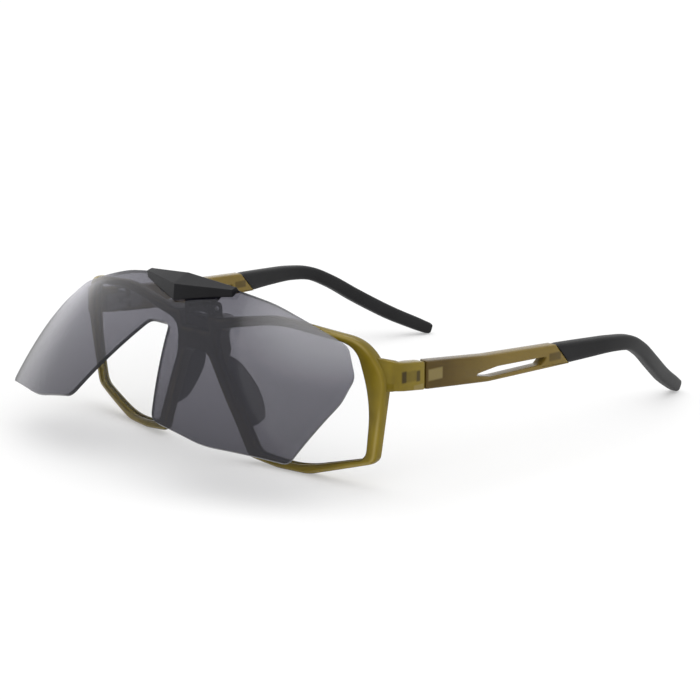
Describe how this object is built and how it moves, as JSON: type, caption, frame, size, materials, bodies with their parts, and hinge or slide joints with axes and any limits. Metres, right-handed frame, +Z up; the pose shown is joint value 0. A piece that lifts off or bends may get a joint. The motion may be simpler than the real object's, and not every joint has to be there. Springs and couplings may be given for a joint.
{
  "type": "magnetic clip-on eyeglasses",
  "caption": "Full-rim eyeglasses with folding slotted temples and a one-piece tinted sun shield that flips up on a hinge and clips into the bridge by magnets.",
  "frame": {"origin": "on the surface that the glasses stand on, under the middle of their box", "axes": "+Z up, the lenses face -Y and the temples run back along +Y, +X is the wearer's left"},
  "size_m": [0.1492, 0.1918, 0.0552],
  "materials": {
    "olive_front": "translucent olive, satin",
    "olive_arm": "translucent brown olive, satin",
    "clear_lens": "clear, polished",
    "grey_lens": "neutral grey tint, polished",
    "black_silicone": "soft satin",
    "black_rubber": "fine matt",
    "black_plastic": "fine matt",
    "steel": "satin",
    "magnet_plating": "nickel plated"
  },
  "bodies": {
    "front": {"frame_front": "olive_front", "lens_left": "clear_lens", "lens_right": "clear_lens", "nose_pad_left": "black_silicone", "nose_pad_right": "black_silicone", "bridge_magnet_left": "magnet_plating", "bridge_magnet_right": "magnet_plating", "front_hinge_leaf_left": "steel", "front_hinge_leaf_right": "steel", "hinge_screw_left": "steel", "hinge_screw_right": "steel"},
    "temple_left": {"temple_arm_left": "olive_arm", "temple_hinge_leaf_left": "steel", "temple_core_left": "steel", "temple_tip_left": "black_rubber"},
    "temple_right": {"temple_arm_right": "olive_arm", "temple_hinge_leaf_right": "steel", "temple_core_right": "steel", "temple_tip_right": "black_rubber"},
    "clip": {"clip_mount": "black_plastic", "clip_magnet_left": "magnet_plating", "clip_magnet_right": "magnet_plating", "flip_pin": "steel", "friction_spring": "steel"},
    "shield": {"sun_shield": "grey_lens", "flip_cover": "black_plastic", "flip_bracket": "black_plastic", "shield_screw_left": "steel", "shield_screw_right": "steel"}
  },
  "joints": [
    {"name": "temple_left_fold", "type": "hinge", "parent": "front", "child": "temple_left", "pos_m": [0.06625, -0.03846, 0.0317], "axis": [0, 0, 1], "range_deg": [0, 86]},
    {"name": "temple_right_fold", "type": "hinge", "parent": "front", "child": "temple_right", "pos_m": [-0.06625, -0.03846, 0.0317], "axis": [0, 0, -1], "range_deg": [0, 70]},
    {"name": "clip_pull", "type": "slide", "parent": "front", "child": "clip", "axis": [0, -0.2588, 0.9659], "range_m": [0, 0.045]},
    {"name": "shield_flip", "type": "hinge", "parent": "clip", "child": "shield", "pos_m": [0, -0.05998, 0.0438], "axis": [-1, 0, 0], "range_deg": [-46, 20]}
  ]
}
